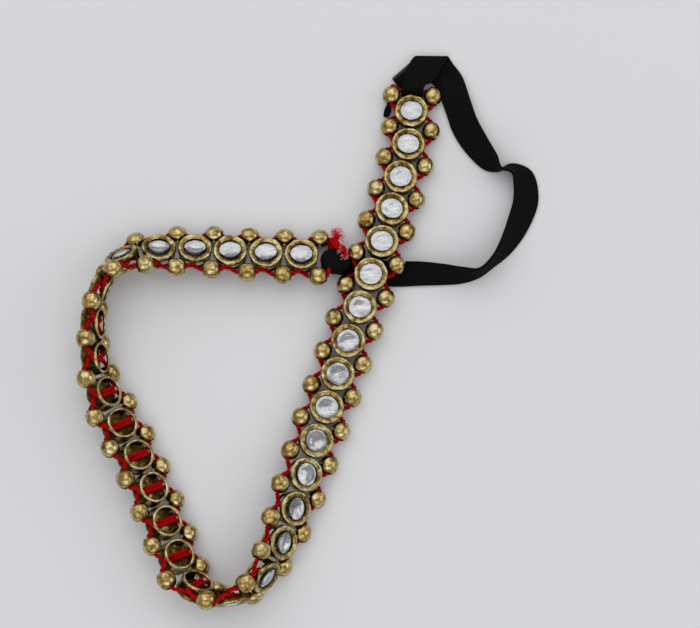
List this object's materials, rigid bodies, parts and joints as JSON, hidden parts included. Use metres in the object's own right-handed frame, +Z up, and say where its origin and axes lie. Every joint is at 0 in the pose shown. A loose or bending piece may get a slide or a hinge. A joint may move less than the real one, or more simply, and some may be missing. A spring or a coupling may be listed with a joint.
{
  "type": "jewelled headband",
  "caption": "Closed forehead band of round brass settings with domed glass stones, laced on a red cord with edge beads and closed by a black knitted elastic.",
  "frame": {"origin": "middle of the footprint, on the surface that the band lies on", "axes": "+Z up, +X to the right and +Y away from the viewer, towards the end where the elastic is folded over"},
  "size_m": [0.1454, 0.1785, 0.0191],
  "materials": {
    "brass": "aged and hand worked, dark in the recesses",
    "elastic": "knitted, matt black",
    "cord": "twisted red thread"
  },
  "bodies": {
    "root": {"setting_01": "brass", "setting_02": "brass", "setting_03": "brass", "setting_04": "brass", "setting_05": "brass", "setting_06": "brass", "setting_07": "brass", "setting_08": "brass", "setting_09": "brass", "setting_10": "brass", "setting_11": "brass", "setting_12": "brass", "setting_13": "brass", "setting_14": "brass", "setting_15": "brass", "setting_16": "brass", "setting_17": "brass", "setting_18": "brass", "setting_19": "brass", "setting_20": "brass", "setting_21": "brass", "setting_22": "brass", "setting_23": "brass", "setting_24": "brass", "setting_25": "brass", "setting_26": "brass", "setting_27": "brass", "setting_28": "brass", "setting_29": "brass", "setting_30": "brass", "setting_31": "brass", "setting_32": "brass", "bead_string_a": "brass", "bead_string_b": "brass", "elastic_band": "elastic", "elastic_knot": "elastic", "elastic_stub": "elastic", "cord_tie": "cord"}
  },
  "joints": []
}
